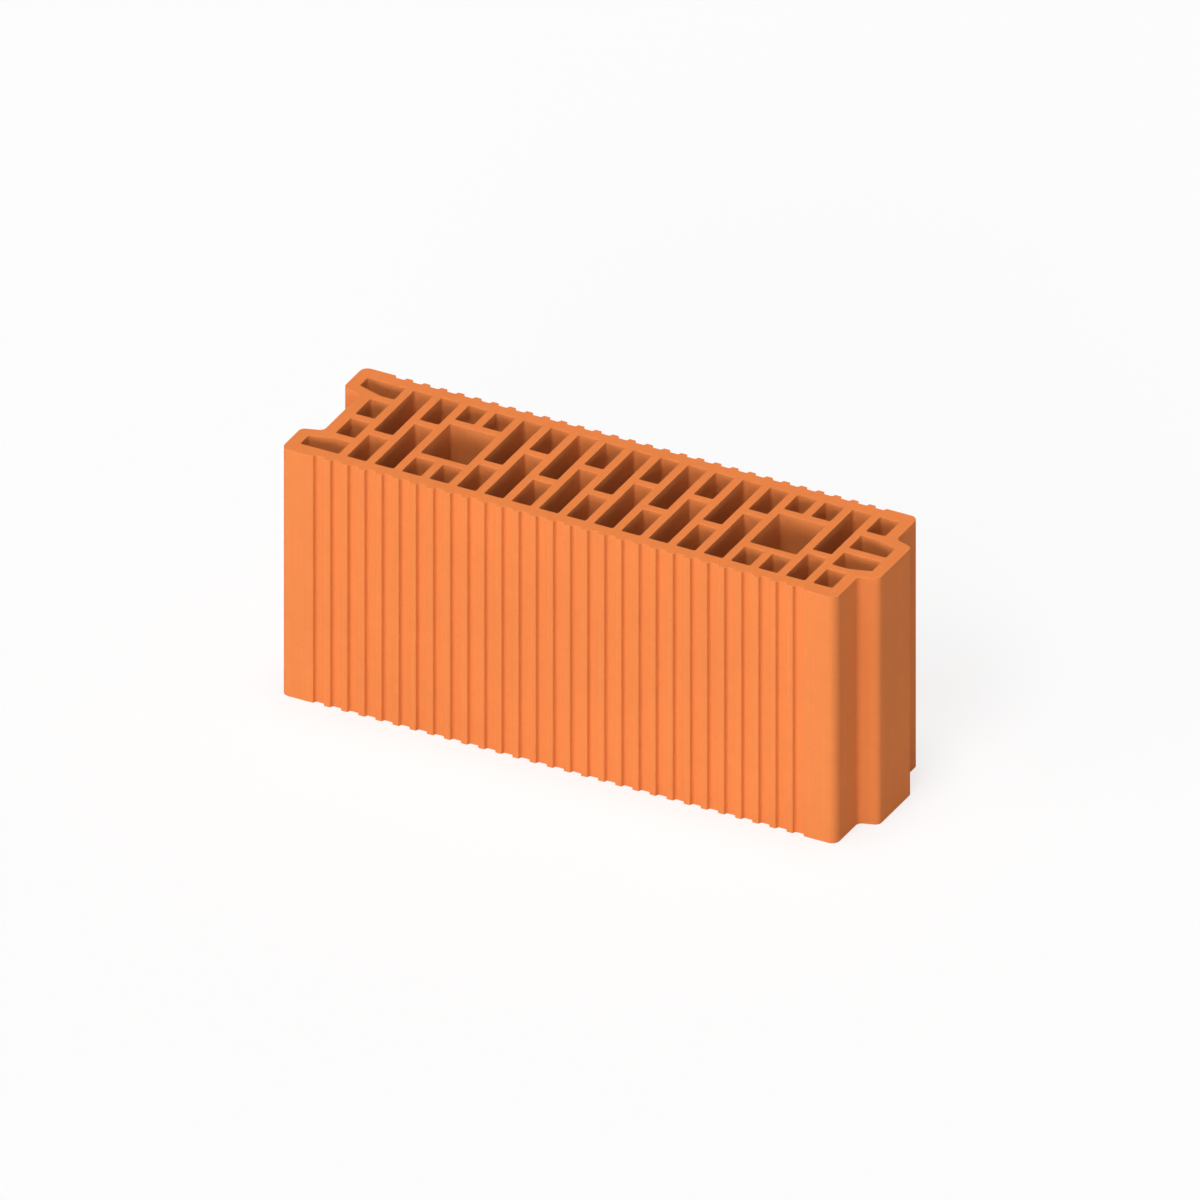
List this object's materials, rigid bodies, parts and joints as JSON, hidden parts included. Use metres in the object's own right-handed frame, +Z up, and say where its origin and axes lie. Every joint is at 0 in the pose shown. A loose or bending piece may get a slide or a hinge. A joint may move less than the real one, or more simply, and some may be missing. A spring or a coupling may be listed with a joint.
{
  "type": "hollow clay block",
  "caption": "Long hollow block of fired clay for walls, with upright through cells, two grip holes, ribbed long faces and a tongue and a groove at its ends.",
  "frame": {"origin": "middle of the underside, at the centre of the block's box with the tongue included", "axes": "+X along the block towards the tongue, +Y across the wall from the front face to the back face, +Z up along the cells"},
  "size_m": [0.5164, 0.142, 0.229],
  "materials": {
    "fired_clay": "matt unglazed orange fired clay, with fine upright drag lines on the extruded faces"
  },
  "bodies": {
    "root": {"hollow_clay_block": "fired_clay"}
  },
  "joints": []
}
